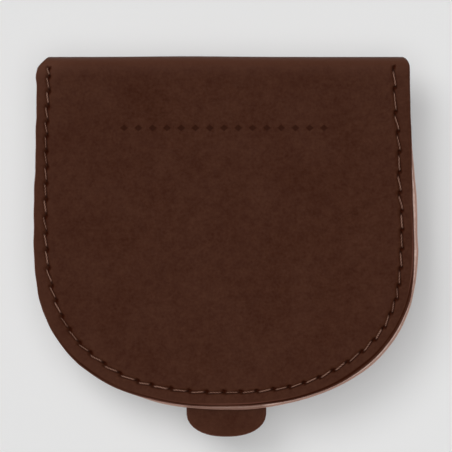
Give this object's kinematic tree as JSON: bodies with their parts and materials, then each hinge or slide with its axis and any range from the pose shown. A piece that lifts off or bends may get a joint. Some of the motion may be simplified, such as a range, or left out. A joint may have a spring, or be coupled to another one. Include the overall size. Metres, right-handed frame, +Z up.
{
  "type": "horseshoe coin purse",
  "caption": "Closed horseshoe coin purse: flat stitched back panel, folded hinge edge, moulded tray lid with a pull tab, and a moulded cup for the coins.",
  "frame": {"origin": "on the surface that the purse lies on, under the middle of its box", "axes": "+Z up, out of the back panel; +Y from the rounded nose to the straight hinge edge; +X to the right for somebody who reads the back panel with the hinge edge up"},
  "size_m": [0.0808, 0.0796, 0.0155],
  "materials": {
    "brown_leather": "smooth dyed cowhide, waxed, semi-matt",
    "natural_leather": "undyed vegetable-tanned cowhide, matt",
    "brass": "turned and dulled",
    "thread": "waxed linen thread"
  },
  "bodies": {
    "root": {"cover": "brown_leather", "coin_cup": "natural_leather", "press_stud": "brass"}
  },
  "joints": []
}
